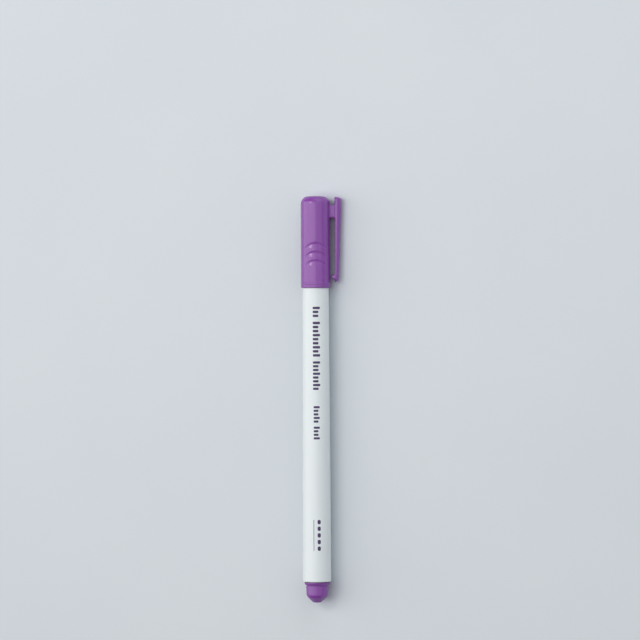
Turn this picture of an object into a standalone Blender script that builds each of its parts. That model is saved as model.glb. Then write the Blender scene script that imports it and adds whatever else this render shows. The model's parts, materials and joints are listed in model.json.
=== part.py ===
"""A capped fabric marking pen with a fibre ink reservoir, lying on its side with the clip on the floor.

The pen is modelled standing on its tail: +Z runs from the tail plug to the top of the cap, the clip is
at +X, and the printed front of the barrel faces -Y. Heights are measured from the flat end of the tail
plug. The empty "pen" then lays everything down, with the cap towards +X and the clip towards -Y.
"""
import math

import bmesh
import bpy
from mathutils import Matrix, Vector

MM = 0.001

# Lengths along the pen
TOTAL_LENGTH = 141.1 * MM
CAP_LENGTH = 31.8 * MM
TAIL_LENGTH = 7.25 * MM          # the tail plug outside the barrel
POINT_LENGTH = 19.9 * MM         # from the barrel's front to the tip of the nib
NECK_LENGTH = 8.1 * MM
COLLAR_LENGTH = 0.7 * MM
NOSE_LENGTH = 6.3 * MM
SLEEVE_CONE_LENGTH = 1.9 * MM

# Outer radii
CAP_RADIUS_TOP = 5.08 * MM
CAP_RADIUS_LIP = 5.16 * MM
BARREL_RADIUS_FRONT = 4.55 * MM
BARREL_RADIUS_BACK = 4.95 * MM
NECK_RADIUS_BACK = 3.65 * MM
NECK_RADIUS_FRONT = 3.25 * MM
NOSE_RADIUS_BACK = 2.3 * MM
NOSE_RADIUS_FRONT = 2.0 * MM
SLEEVE_RADIUS = 1.15 * MM
NIB_RADIUS = 0.75 * MM
NIB_TIP_RADIUS = 0.22 * MM
RESERVOIR_RADIUS = 2.9 * MM
WICK_RADIUS = 0.7 * MM

# Fits and walls
GAP = 0.3 * MM                   # left between pieces that touch on the real pen
FINE_GAP = 0.15 * MM             # the same, around the nib
BARREL_WALL = 0.8 * MM
CAP_BORE_RADIUS = 3.95 * MM
CAP_TOP_WALL = 1.8 * MM
CAP_TOP_ROUNDING = 2.6 * MM
LIP_BAND_LENGTH = 1.35 * MM
LIP_BAND_HEIGHT = 0.05 * MM
BARREL_LEDGE_LENGTH = 3.0 * MM   # the barrel's narrowed front, which the front section snaps into
BARREL_LEDGE_RADIUS = 3.3 * MM
FILM_THICKNESS = 0.25 * MM

# Thumb grip: arched steps in the front and back of the cap
ARCH_COUNT = 3
ARCH_PITCH = 3.0 * MM
ARCH_FIRST_PEAK = 125.0 * MM
ARCH_RADIUS = 4.0 * MM
ARCH_HALF_WIDTH = 3.1 * MM
ARCH_DEPTH = 0.4 * MM
ARCH_RAMP_LENGTH = 2.4 * MM

# Clip
CLIP_TOP = 140.8 * MM
CLIP_LENGTH = 29.5 * MM
CLIP_INNER = 6.65 * MM           # from the pen's axis to the clip's inner face
CLIP_OUTER_TOP = 8.95 * MM
CLIP_OUTER_END = 8.0 * MM
CLIP_TAPER_START = 137.0 * MM
CLIP_HALF_WIDTH_TOP = 1.9 * MM
CLIP_HALF_WIDTH_END = 1.6 * MM
CLIP_CORNER_RADIUS = 1.2 * MM
CLIP_END_ROUNDING = 1.3 * MM
CLIP_TOP_ROUNDING = 1.0 * MM
BUMP_HEIGHT = 1.1 * MM           # the ridge inside the clip's free end
BUMP_HALF_LENGTH = 1.15 * MM
BUMP_FROM_END = 1.75 * MM
BRIDGE_TOP = 138.0 * MM          # the block that carries the clip
BRIDGE_BOTTOM = 133.5 * MM
BRIDGE_HALF_WIDTH = 1.5 * MM

# Levels worked out from the lengths
CAP_LIP = TOTAL_LENGTH - CAP_LENGTH
BARREL_BACK = TAIL_LENGTH
BARREL_FRONT = CAP_LIP - GAP
NECK_BACK = CAP_LIP
NECK_FRONT = NECK_BACK + NECK_LENGTH - GAP
COLLAR_BACK = NECK_FRONT + GAP
COLLAR_FRONT = COLLAR_BACK + COLLAR_LENGTH
NOSE_FRONT = COLLAR_FRONT + NOSE_LENGTH
SLEEVE_FRONT = NOSE_FRONT + SLEEVE_CONE_LENGTH
NIB_TIP = CAP_LIP + POINT_LENGTH
CAP_BORE_END = TOTAL_LENGTH - CAP_TOP_WALL
LINER_MOUTH = COLLAR_FRONT + GAP
LINER_TOP = CAP_BORE_END - GAP
BARREL_BORE_BACK = BARREL_RADIUS_BACK - BARREL_WALL
BARREL_BORE_FRONT = BARREL_RADIUS_FRONT - BARREL_WALL
LEDGE_BACK = BARREL_FRONT - BARREL_LEDGE_LENGTH
SKIRT_RADIUS = BARREL_LEDGE_RADIUS - GAP
SKIRT_BACK = LEDGE_BACK - 5.5 * MM
SECTION_BORE_RADIUS = 2.2 * MM
NOSE_BORE_RADIUS = WICK_RADIUS + GAP
PLUG_STEM_RADIUS = BARREL_BORE_BACK - 2 * GAP
PLUG_STEM_END = BARREL_BACK + 7.5 * MM
RESERVOIR_BACK = PLUG_STEM_END + GAP
RESERVOIR_FRONT = SKIRT_BACK - GAP
SOCKET_DEPTH = 6.0 * MM          # how far the feed wick runs into the reservoir
WICK_BACK = RESERVOIR_FRONT - SOCKET_DEPTH + GAP
WICK_FRONT = COLLAR_FRONT + 1.0 * MM
NIB_BACK = WICK_FRONT + FINE_GAP
CLIP_END = CLIP_TOP - CLIP_LENGTH
HEAD_BOTTOM = BRIDGE_BOTTOM - 0.2 * MM   # the clip's head ends just past the bridge, where its arm bends
ARM_TOP = HEAD_BOTTOM - GAP
HINGE = (CLIP_INNER + 0.8 * MM, 0, HEAD_BOTTOM - GAP / 2)

# Facets round the turned pieces
LARGE_FACETS = 48
MIDDLE_FACETS = 32
SMALL_FACETS = 24


def clear_scene():
    for item in list(bpy.data.objects):
        bpy.data.objects.remove(item, do_unlink=True)


def plastic(name, colour, roughness):
    material = bpy.data.materials.new(name)
    material.use_nodes = True
    shader = material.node_tree.nodes["Principled BSDF"]
    shader.inputs["Base Color"].default_value = (*colour, 1.0)
    shader.inputs["Roughness"].default_value = roughness
    shader.inputs["Metallic"].default_value = 0.0
    material.diffuse_color = (*colour, 1.0)
    return material


def add_object(name, mesh, parent, origin, material):
    """Links a mesh drawn in the pen's frame, with its origin moved to a point in that frame."""
    bmesh_data = bmesh.new()
    bmesh_data.from_mesh(mesh)
    bmesh.ops.recalc_face_normals(bmesh_data, faces=bmesh_data.faces)
    bmesh_data.to_mesh(mesh)
    bmesh_data.free()
    mesh.transform(Matrix.Translation(-Vector(origin)))
    mesh.shade_smooth()
    mesh.set_sharp_from_angle(angle=math.radians(30))
    if material:
        mesh.materials.append(material)
    item = bpy.data.objects.new(name, mesh)
    bpy.context.collection.objects.link(item)
    item.parent = parent
    item.location = Vector(origin) - frame_origin(parent)
    return item


def frame_origin(empty):
    """Where an empty stands in the pen's frame, before the pen is laid down."""
    point = Vector((0, 0, 0))
    while empty.parent:
        point += empty.location
        empty = empty.parent
    return point


def add_empty(name, parent, point):
    empty = bpy.data.objects.new(name, None)
    bpy.context.collection.objects.link(empty)
    if parent:
        empty.parent = parent
        empty.location = Vector(point) - frame_origin(parent)
    return empty


def arc(centre_radius, centre_height, radius, start, end, steps):
    """Points on an arc in the section plane, from start to end in degrees (0 is outwards, 90 is up)."""
    points = []
    for step in range(steps + 1):
        angle = math.radians(start + (end - start) * step / steps)
        points.append((centre_radius + radius * math.cos(angle), centre_height + radius * math.sin(angle)))
    return points


def turned(name, outline, facets, parent, origin, material):
    """Spins a section outline of (radius, height) points about the pen's axis.

    An outline that starts and ends on the axis makes a solid; any other is closed into a ring.
    """
    mesh = bpy.data.meshes.new(name)
    shape = bmesh.new()
    rings = []
    for radius, height in outline:
        if radius < 1e-7:
            rings.append([shape.verts.new((0, 0, height))] * facets)
            continue
        ring = []
        for facet in range(facets):
            angle = 2 * math.pi * facet / facets
            ring.append(shape.verts.new((radius * math.cos(angle), radius * math.sin(angle), height)))
        rings.append(ring)
    on_axis = outline[0][0] < 1e-7
    pairs = list(zip(rings, rings[1:]))
    if not on_axis:
        pairs.append((rings[-1], rings[0]))
    for lower, upper in pairs:
        for facet in range(facets):
            following = (facet + 1) % facets
            corners = [lower[facet], lower[following], upper[following], upper[facet]]
            distinct = list(dict.fromkeys(corners))
            shape.faces.new(distinct)
    shape.to_mesh(mesh)
    shape.free()
    return add_object(name, mesh, parent, origin, material)


def lofted(name, sections, parent, origin, material):
    """Skins a row of closed sections with equal numbers of points, and closes both ends."""
    mesh = bpy.data.meshes.new(name)
    shape = bmesh.new()
    loops = [[shape.verts.new(point) for point in section] for section in sections]
    count = len(sections[0])
    for lower, upper in zip(loops, loops[1:]):
        for index in range(count):
            following = (index + 1) % count
            shape.faces.new((lower[index], lower[following], upper[following], upper[index]))
    shape.faces.new(loops[0])
    shape.faces.new(loops[-1])
    shape.to_mesh(mesh)
    shape.free()
    return add_object(name, mesh, parent, origin, material)


def boolean(target, tool, operation):
    tool.hide_render = True
    tool.display_type = 'WIRE'
    modifier = target.modifiers.new(operation.lower() + "_" + tool.name, 'BOOLEAN')
    modifier.operation = operation
    modifier.solver = 'EXACT'
    modifier.object = tool


def cap_radius(height):
    """The cap's outer radius between the rounding of its top and the band at its lip."""
    share = (height - CAP_LIP) / CAP_LENGTH
    return CAP_RADIUS_LIP - LIP_BAND_HEIGHT + (CAP_RADIUS_TOP - CAP_RADIUS_LIP + LIP_BAND_HEIGHT) * share


def make_barrel(parent, material):
    edge = 0.2 * MM
    outline = [
        (BARREL_BORE_BACK, BARREL_BACK),
        (BARREL_RADIUS_BACK - edge / 2, BARREL_BACK),
        (BARREL_RADIUS_BACK, BARREL_BACK + edge / 2),
    ]
    outline += arc(BARREL_RADIUS_FRONT - edge, BARREL_FRONT - edge, edge, 0, 90, 3)
    outline += [
        (BARREL_LEDGE_RADIUS, BARREL_FRONT),
        (BARREL_LEDGE_RADIUS, LEDGE_BACK),
        (BARREL_BORE_FRONT, LEDGE_BACK),
    ]
    return turned("barrel", outline, LARGE_FACETS, parent, (0, 0, BARREL_BACK), material)


def make_tail_plug(parent, material):
    """A moulded plug: a flange at the barrel, a short bevelled body, and a hollow ribbed stem."""
    flange_radius = 4.45 * MM
    flange_back_radius = 4.1 * MM
    flange_front = BARREL_BACK - GAP
    flange_back = flange_front - 0.9 * MM
    flange_bevel_end = flange_back + 0.6 * MM
    groove_back = flange_back - 0.35 * MM
    groove_radius = 3.75 * MM
    body_radius = 3.9 * MM
    rib_radius = BARREL_BORE_BACK - GAP
    hollow_radius = PLUG_STEM_RADIUS - 0.8 * MM
    hollow_back = BARREL_BACK + 0.5 * MM
    first_rib = BARREL_BACK + 1.6 * MM
    rib_pitch = 2.6 * MM
    rib_third = 0.3 * MM
    bevel = [(1.3 * MM, 0), (1.6 * MM, 0.2 * MM), (3.25 * MM, 1.7 * MM), (3.75 * MM, 2.5 * MM)]
    outline = [(0, 0)] + bevel
    outline += [
        (body_radius, groove_back),
        (groove_radius, groove_back),
        (groove_radius, flange_back),
        (flange_back_radius, flange_back),
        (flange_radius, flange_bevel_end),
        (flange_radius, flange_front),
        (PLUG_STEM_RADIUS, flange_front),
    ]
    for rib in range(2):
        rib_back = first_rib + rib * rib_pitch
        outline += [
            (PLUG_STEM_RADIUS, rib_back),
            (rib_radius, rib_back + rib_third),
            (rib_radius, rib_back + 2 * rib_third),
            (PLUG_STEM_RADIUS, rib_back + 3 * rib_third),
        ]
    outline += [
        (PLUG_STEM_RADIUS - 0.2 * MM, PLUG_STEM_END),
        (hollow_radius, PLUG_STEM_END),
        (hollow_radius, hollow_back),
        (0, hollow_back),
    ]
    return turned("tail_plug", outline, LARGE_FACETS, parent, (0, 0, 0), material)


def make_reservoir(parent, material):
    """A rod of bonded fibre, with a socket in its front end for the feed wick."""
    edge = 0.3 * MM
    socket_radius = WICK_RADIUS + GAP
    outline = [
        (0, RESERVOIR_BACK),
        (RESERVOIR_RADIUS - edge, RESERVOIR_BACK),
        (RESERVOIR_RADIUS, RESERVOIR_BACK + edge),
        (RESERVOIR_RADIUS, RESERVOIR_FRONT - edge),
        (RESERVOIR_RADIUS - edge, RESERVOIR_FRONT),
        (socket_radius, RESERVOIR_FRONT),
        (socket_radius, RESERVOIR_FRONT - SOCKET_DEPTH),
        (0, RESERVOIR_FRONT - SOCKET_DEPTH),
    ]
    return turned("ink_reservoir", outline, MIDDLE_FACETS, parent, (0, 0, RESERVOIR_BACK), material)


def make_reservoir_wrap(parent, material):
    inner = RESERVOIR_RADIUS + FINE_GAP
    outer = inner + FILM_THICKNESS
    inset = 0.5 * MM
    back = RESERVOIR_BACK + inset
    front = RESERVOIR_FRONT - inset
    outline = [(inner, back), (outer, back), (outer, front), (inner, front)]
    return turned("reservoir_wrap", outline, MIDDLE_FACETS, parent, (0, 0, back), material)


def make_feed_wick(parent, material):
    edge = 0.15 * MM
    outline = [
        (0, WICK_BACK),
        (WICK_RADIUS - edge, WICK_BACK),
        (WICK_RADIUS, WICK_BACK + edge),
        (WICK_RADIUS, WICK_FRONT - edge),
        (WICK_RADIUS - edge, WICK_FRONT),
        (0, WICK_FRONT),
    ]
    return turned("feed_wick", outline, SMALL_FACETS, parent, (0, 0, WICK_BACK), material)


def make_front_section(parent, material):
    """The neck that the cap slides over, with a skirt and a snap rib behind the barrel's ledge."""
    rib_radius = SKIRT_RADIUS + 0.5 * MM
    rib_front = LEDGE_BACK - GAP
    rib_length = 0.8 * MM
    edge = 0.2 * MM
    outline = [
        (SECTION_BORE_RADIUS, SKIRT_BACK),
        (SKIRT_RADIUS - edge, SKIRT_BACK),
        (SKIRT_RADIUS, SKIRT_BACK + edge),
        (SKIRT_RADIUS, rib_front - 2 * rib_length),
        (rib_radius, rib_front - rib_length),
        (rib_radius, rib_front),
        (SKIRT_RADIUS, rib_front),
        (SKIRT_RADIUS, NECK_BACK),
        (NECK_RADIUS_BACK, NECK_BACK),
    ]
    outline += arc(NECK_RADIUS_FRONT - edge, NECK_FRONT - edge, edge, 0, 90, 3)
    outline += [(SECTION_BORE_RADIUS, NECK_FRONT)]
    return turned("front_section", outline, LARGE_FACETS, parent, (0, 0, NECK_BACK), material)


def make_nose_piece(parent, material):
    """The nib's holder: a stem inside the neck, a bevelled collar, and a nose with a rounded shoulder."""
    stem_radius = SECTION_BORE_RADIUS - GAP
    stem_back = SKIRT_BACK + 3.0 * MM
    collar_radius = 3.2 * MM
    collar_front_radius = 2.55 * MM
    shoulder_length = 1.8 * MM
    shoulder_turn = math.radians(62)
    front_radius = SLEEVE_RADIUS + 0.05 * MM
    outline = [
        (NOSE_BORE_RADIUS, stem_back),
        (stem_radius, stem_back),
        (stem_radius, COLLAR_BACK),
        (collar_radius, COLLAR_BACK),
        (collar_radius, COLLAR_BACK + 0.1 * MM),
        (collar_front_radius, COLLAR_FRONT),
        (NOSE_RADIUS_BACK, COLLAR_FRONT),
    ]
    steps = 6
    for step in range(steps + 1):
        angle = shoulder_turn * step / steps
        rise = math.sin(angle) / math.sin(shoulder_turn)
        fall = (1 - math.cos(angle)) / (1 - math.cos(shoulder_turn))
        radius = NOSE_RADIUS_FRONT - (NOSE_RADIUS_FRONT - front_radius) * fall
        outline.append((radius, NOSE_FRONT - shoulder_length * (1 - rise)))
    outline.append((NOSE_BORE_RADIUS, NOSE_FRONT))
    return turned("nose_piece", outline, MIDDLE_FACETS, parent, (0, 0, COLLAR_BACK), material)


def make_nib_sleeve(parent, material):
    """A small cone on a tube that runs back inside the nose and holds the nib."""
    tube_radius = NOSE_BORE_RADIUS - FINE_GAP
    bore_radius = 0.6 * MM
    tube_back = WICK_FRONT + 2 * FINE_GAP
    cone_back = NOSE_FRONT + FINE_GAP
    outline = [
        (bore_radius, tube_back),
        (tube_radius, tube_back),
        (tube_radius, cone_back),
        (SLEEVE_RADIUS, cone_back),
        (SLEEVE_RADIUS, cone_back + 0.15 * MM),
        (NIB_RADIUS, SLEEVE_FRONT),
        (bore_radius, SLEEVE_FRONT),
    ]
    return turned("nib_sleeve", outline, SMALL_FACETS, parent, (0, 0, cone_back), material)


def nib_point_radius(share):
    """The radius of the nib's point, which swells and then narrows; share runs from 0 to 1 at the tip."""
    base = 0.93 * NIB_RADIUS
    swollen_share = 0.55
    if share < swollen_share:
        return base + (NIB_RADIUS - base) * math.sin(math.pi * share / swollen_share)
    narrowing = ((share - swollen_share) / (1 - swollen_share)) ** 1.25
    return base + (NIB_TIP_RADIUS - base) * narrowing


def make_nib(parent, material):
    """A fibre nib: a thin shank inside its sleeve and a slightly swollen point with a rounded tip."""
    shank_radius = 0.45 * MM
    point_back = SLEEVE_FRONT + FINE_GAP
    point_length = NIB_TIP - NIB_TIP_RADIUS - point_back
    outline = [(0, NIB_BACK), (shank_radius, NIB_BACK), (shank_radius, point_back)]
    steps = 8
    for step in range(steps + 1):
        share = step / steps
        outline.append((nib_point_radius(share), point_back + point_length * share))
    outline += [(0.75 * NIB_TIP_RADIUS, NIB_TIP - 0.4 * NIB_TIP_RADIUS), (0, NIB_TIP)]
    return turned("nib", outline, SMALL_FACETS, parent, (0, 0, point_back), material)


def make_inner_cap(parent, material):
    """The liner that seals the point: a cup over the nose, a web, and a hollow stem up to the cap's top."""
    draft = 0.05 * MM
    outer_radius = CAP_BORE_RADIUS - GAP - draft
    bore_radius = NOSE_RADIUS_BACK + GAP
    web_back = NIB_TIP + 2.2 * MM
    web_front = web_back + 1.0 * MM
    stem_bore = outer_radius - 0.7 * MM
    edge = 0.25 * MM
    outline = [
        (bore_radius + edge, LINER_MOUTH),
        (outer_radius - edge, LINER_MOUTH),
        (outer_radius, LINER_MOUTH + edge),
        (outer_radius, LINER_TOP),
        (stem_bore, LINER_TOP),
        (stem_bore, web_front),
        (0, web_front),
    ]
    outline = [(0, web_back), (bore_radius, web_back), (bore_radius, LINER_MOUTH + edge)] + outline
    return turned("inner_cap", outline, MIDDLE_FACETS, parent, (0, 0, LINER_MOUTH), material)


def arch_cutter(name, peak, facing, parent):
    """Cuts one arched step: a square wall along the arch, and a floor that ramps out below it."""
    half_angle = math.asin(ARCH_HALF_WIDTH / cap_radius(peak))
    bottom = peak - ARCH_RAMP_LENGTH
    surface = cap_radius(peak)
    clear_radius = surface + 1.0 * MM
    ramp_end_radius = surface + 0.1 * MM
    steps = 13                   # odd, so that no section lies along a facet's edge
    sections = []
    for step in range(steps + 1):
        angle = half_angle * (2 * step / steps - 1)
        across = surface * math.sin(angle)
        wall = peak - (ARCH_RADIUS - math.sqrt(ARCH_RADIUS ** 2 - across ** 2))
        floor = surface - ARCH_DEPTH * (wall - bottom) / ARCH_RAMP_LENGTH
        direction = Vector((math.sin(angle), facing * math.cos(angle), 0))
        corners = ((floor, wall), (ramp_end_radius, bottom), (clear_radius, bottom), (clear_radius, wall))
        section = [direction * radius + Vector((0, 0, height)) for radius, height in corners]
        sections.append(section)
    return lofted(name, sections, parent, (0, 0, peak), None)


def make_bridge(parent):
    """The block between the cap and the head of its clip, with rounded long edges."""
    inner = cap_radius(BRIDGE_TOP) - 0.5 * MM
    outer = CLIP_INNER + 0.5 * MM
    rounding = 0.35 * MM
    side = BRIDGE_HALF_WIDTH - rounding
    low = BRIDGE_BOTTOM + rounding
    high = BRIDGE_TOP - rounding
    corners = ((side, high), (-side, high), (-side, low), (side, low))
    sections = []
    for across in (inner, outer):
        section = []
        for quarter, (centre_y, centre_z) in enumerate(corners):
            for y, z in arc(centre_y, centre_z, rounding, 90 * quarter, 90 * quarter + 90, 3):
                section.append((across, y, z))
        sections.append(section)
    return lofted("bridge_block", sections, parent, (inner, 0, BRIDGE_BOTTOM), None)


def make_clip_head(parent):
    """The stiff top of the clip, which is one piece with the bridge and the cap."""
    heights = [HEAD_BOTTOM, CLIP_TAPER_START]
    for step in range(6):
        heights.append(CLIP_TOP - CLIP_TOP_ROUNDING * (1 - math.sin(math.radians(18 * step))))
    sections = [clip_section(height) for height in heights]
    return lofted("clip_head", sections, parent, (CLIP_INNER, 0, HEAD_BOTTOM), None)


def make_cap_shell(parent, material):
    lip_inner_edge = 0.25 * MM
    lip_outer_edge = 0.15 * MM
    band_top = CAP_LIP + LIP_BAND_LENGTH
    rounding_centre = (CAP_RADIUS_TOP - CAP_TOP_ROUNDING, TOTAL_LENGTH - CAP_TOP_ROUNDING)
    bore_end_edge = 0.35 * MM
    outline = [
        (0, CAP_BORE_END),
        (CAP_BORE_RADIUS - bore_end_edge, CAP_BORE_END),
        (CAP_BORE_RADIUS, CAP_BORE_END - bore_end_edge),
        (CAP_BORE_RADIUS, CAP_LIP + lip_inner_edge),
        (CAP_BORE_RADIUS + lip_inner_edge, CAP_LIP),
        (CAP_RADIUS_LIP - lip_outer_edge, CAP_LIP),
        (CAP_RADIUS_LIP, CAP_LIP + lip_outer_edge),
        (CAP_RADIUS_LIP, band_top - 0.1 * MM),
        (cap_radius(band_top), band_top),
    ]
    outline += arc(*rounding_centre, CAP_TOP_ROUNDING, 0, 90, 8)
    outline += [(0, TOTAL_LENGTH)]
    shell = turned("cap_shell", outline, LARGE_FACETS, parent, (0, 0, CAP_LIP), material)
    boolean(shell, make_bridge(parent), 'UNION')
    boolean(shell, make_clip_head(parent), 'UNION')
    for facing, side in ((-1, "front"), (1, "back")):
        for index in range(ARCH_COUNT):
            peak = ARCH_FIRST_PEAK - index * ARCH_PITCH
            cutter = arch_cutter("cutter_arch_%s_%d" % (side, index + 1), peak, facing, parent)
            boolean(shell, cutter, 'DIFFERENCE')
    return shell


def clip_section(height):
    """The clip's closed section at a height: a flat inner face and a crowned outer face."""
    taper = min(1.0, max(0.0, (CLIP_TAPER_START - height) / (CLIP_TAPER_START - CLIP_END)))
    outer = CLIP_OUTER_TOP + (CLIP_OUTER_END - CLIP_OUTER_TOP) * taper
    along = (CLIP_TOP - height) / CLIP_LENGTH
    half_width = CLIP_HALF_WIDTH_TOP + (CLIP_HALF_WIDTH_END - CLIP_HALF_WIDTH_TOP) * along
    inner = CLIP_INNER
    from_bump = (height - (CLIP_END + BUMP_FROM_END)) / BUMP_HALF_LENGTH
    if abs(from_bump) < 1:
        inner -= BUMP_HEIGHT * math.cos(from_bump * math.pi / 2) ** 1.5
    ends = ((CLIP_TOP - height, CLIP_TOP_ROUNDING), (height - CLIP_END, CLIP_END_ROUNDING))
    flat_share = 0.45
    for distance, rounding in ends:
        if distance < rounding:
            rest = 1 - distance / rounding
            drop = (1 - math.sqrt(max(0.0, 1 - rest * rest))) * (1 - flat_share)
            outer -= (outer - CLIP_INNER) * drop
            half_width -= half_width * drop
    corner = min(CLIP_CORNER_RADIUS, (outer - CLIP_INNER) * 0.6)
    small = 0.12 * MM
    points = [(inner, half_width - small), (inner + small, half_width)]
    points += arc_pair(outer - corner, half_width - corner, corner)
    points += [(inner + small, -half_width), (inner, small - half_width)]
    return [(x, y, height) for x, y in points]


def arc_pair(centre_x, centre_y, radius):
    """Both rounded outer corners of the clip's section, from +Y round to -Y."""
    steps = 5
    points = []
    for step in range(steps + 1):
        angle = math.radians(90 - 90 * step / steps)
        points.append((centre_x + radius * math.cos(angle), centre_y + radius * math.sin(angle)))
    return points + [(x, -y) for x, y in reversed(points)]


def make_clip_arm(parent, material):
    """The springy arm of the clip, with a ridge inside its free end."""
    rounded_from = CLIP_END + CLIP_END_ROUNDING
    bump_top = CLIP_END + BUMP_FROM_END + BUMP_HALF_LENGTH
    heights = [rounded_from - CLIP_END_ROUNDING * math.cos(math.radians(15 * step)) for step in range(6)]
    heights += [rounded_from + (bump_top - rounded_from) * step / 6 for step in range(7)]
    heights += [bump_top + (ARM_TOP - bump_top) * step / 4 for step in range(1, 5)]
    sections = [clip_section(height) for height in heights]
    return lofted("clip_arm", sections, parent, HINGE, material)


def roll_angle():
    """The roll at which the lying pen's clip touches the floor together with the lip of its cap."""
    reach = CLIP_OUTER_TOP - CLIP_CORNER_RADIUS
    half_width = CLIP_HALF_WIDTH_TOP - CLIP_CORNER_RADIUS
    height = CAP_RADIUS_LIP - CLIP_CORNER_RADIUS
    return math.asin(height / math.hypot(reach, half_width)) - math.atan2(half_width, reach)


def lay_down(pen):
    """Turns the pen on its side, then moves the middle of its box's underside to the world's origin."""
    turn = Matrix.Rotation(roll_angle() - math.pi / 2, 4, 'X') @ Matrix.Rotation(math.pi / 2, 4, 'Y')
    pen.rotation_euler = turn.to_euler()
    graph = bpy.context.evaluated_depsgraph_get()
    graph.update()
    corners = []
    for item in bpy.data.objects:
        if item.type == 'MESH' and not item.hide_render:
            shown = item.evaluated_get(graph)
            corners += [shown.matrix_world @ vertex.co for vertex in shown.data.vertices]
    low = Vector([min(corner[axis] for corner in corners) for axis in range(3)])
    high = Vector([max(corner[axis] for corner in corners) for axis in range(3)])
    pen.location = -Vector(((low.x + high.x) / 2, (low.y + high.y) / 2, low.z))
    bpy.context.view_layer.update()


def main():
    clear_scene()
    white = plastic("white_plastic", (0.78, 0.82, 0.84), 0.35)
    violet = plastic("violet_plastic", (0.25, 0.07, 0.37), 0.38)
    liner_white = plastic("liner_plastic", (0.82, 0.82, 0.8), 0.5)
    sleeve_white = plastic("sleeve_plastic", (0.7, 0.72, 0.74), 0.3)
    nib_fibre = plastic("nib_fibre", (0.16, 0.05, 0.3), 0.85)
    wick_fibre = plastic("wick_fibre", (0.22, 0.08, 0.36), 0.9)
    soaked_fibre = plastic("soaked_fibre", (0.3, 0.14, 0.46), 0.95)
    film = plastic("wrap_film", (0.62, 0.55, 0.7), 0.2)

    pen = add_empty("pen", None, (0, 0, 0))
    cap_pull = add_empty("cap_pull", pen, (0, 0, CAP_LIP))
    cap_turn = add_empty("cap_turn", cap_pull, (0, 0, CAP_LIP))
    clip_flex = add_empty("clip_flex", cap_turn, HINGE)

    make_barrel(pen, white)
    make_tail_plug(pen, violet)
    make_reservoir(pen, soaked_fibre)
    make_reservoir_wrap(pen, film)
    make_feed_wick(pen, wick_fibre)
    make_front_section(pen, white)
    make_nose_piece(pen, white)
    make_nib_sleeve(pen, sleeve_white)
    make_nib(pen, nib_fibre)
    make_inner_cap(cap_pull, liner_white)
    make_cap_shell(cap_turn, violet)
    make_clip_arm(clip_flex, violet)
    lay_down(pen)


main()
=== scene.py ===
"""The looks of a capped fabric marking pen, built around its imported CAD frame.

Sizes are in millimetres in the pen's own frame: Z runs from the flat end of the tail plug to the top of the
cap, X points to the clip, and -Y is the printed front. PEN turns that frame into the world's.
"""
import json
import math

import bmesh
import bpy
from mathutils import Matrix, Vector


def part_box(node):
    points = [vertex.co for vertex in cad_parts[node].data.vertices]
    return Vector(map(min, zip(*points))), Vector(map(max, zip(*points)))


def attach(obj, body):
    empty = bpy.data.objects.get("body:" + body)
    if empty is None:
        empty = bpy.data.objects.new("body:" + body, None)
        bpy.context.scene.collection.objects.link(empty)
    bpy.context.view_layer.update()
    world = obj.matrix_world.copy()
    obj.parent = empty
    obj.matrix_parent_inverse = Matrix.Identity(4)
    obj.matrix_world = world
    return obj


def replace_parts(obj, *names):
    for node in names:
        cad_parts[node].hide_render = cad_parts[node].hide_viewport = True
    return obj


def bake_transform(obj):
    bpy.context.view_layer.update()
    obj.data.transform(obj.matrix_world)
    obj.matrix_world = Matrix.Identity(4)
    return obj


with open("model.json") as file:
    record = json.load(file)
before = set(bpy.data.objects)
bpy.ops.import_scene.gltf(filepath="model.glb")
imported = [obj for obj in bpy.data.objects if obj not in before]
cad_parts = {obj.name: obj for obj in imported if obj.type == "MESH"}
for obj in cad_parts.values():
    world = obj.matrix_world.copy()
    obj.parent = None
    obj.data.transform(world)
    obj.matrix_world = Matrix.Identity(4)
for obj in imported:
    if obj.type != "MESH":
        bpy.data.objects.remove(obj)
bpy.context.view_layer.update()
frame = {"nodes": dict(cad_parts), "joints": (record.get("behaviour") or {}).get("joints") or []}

MM = 0.001                   # in metres
TAU = 2 * math.pi

# Radii and heights that the frame's boxes don't give
SEAM = 0.04                  # left between pieces that touch on the real pen
BARREL_RADIUS_FRONT = 4.55
BARREL_RADIUS_BACK = 4.95
BARREL_BORE_FRONT = 3.75
BARREL_BORE_BACK = 4.15
BARREL_LEDGE_RADIUS = 3.3
BARREL_LEDGE_LENGTH = 3.0
NECK_RADIUS_BACK = 3.65
NECK_RADIUS_FRONT = 3.25
NOSE_BORE_RADIUS = 1.0
SLEEVE_RADIUS = 1.15
NIB_RADIUS = 0.75
NIB_TIP_RADIUS = 0.2

# Cap
CAP_RADIUS_TOP = 5.08
CAP_RADIUS_LIP = 5.16
CAP_BAND_RISE = 0.05         # how far the band at the lip stands out from the wall above it
CAP_BORE_RADIUS = 3.95
CAP_TOP_WALL = 1.8
CAP_TOP_ROUNDING = 2.6

# Thumb grip: arched hollows in the front and back of the cap
ARCH_PEAKS = (125.45, 122.45, 119.45)
ARCH_RADIUS = 4.0
ARCH_DEPTH = 0.2
ARCH_LENGTH = 2.45
ARCH_DEEPEST = 0.5           # share of its length at which a hollow is deepest
ARCH_FADE = 0.5              # how much shallower it gets where it is short: 0 is not at all
ARCH_SOFTENING = 0.25        # share of its rise over which its far edge is softened
ARCH_PITCH = 0.075           # between the rings of the mesh there

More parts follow.
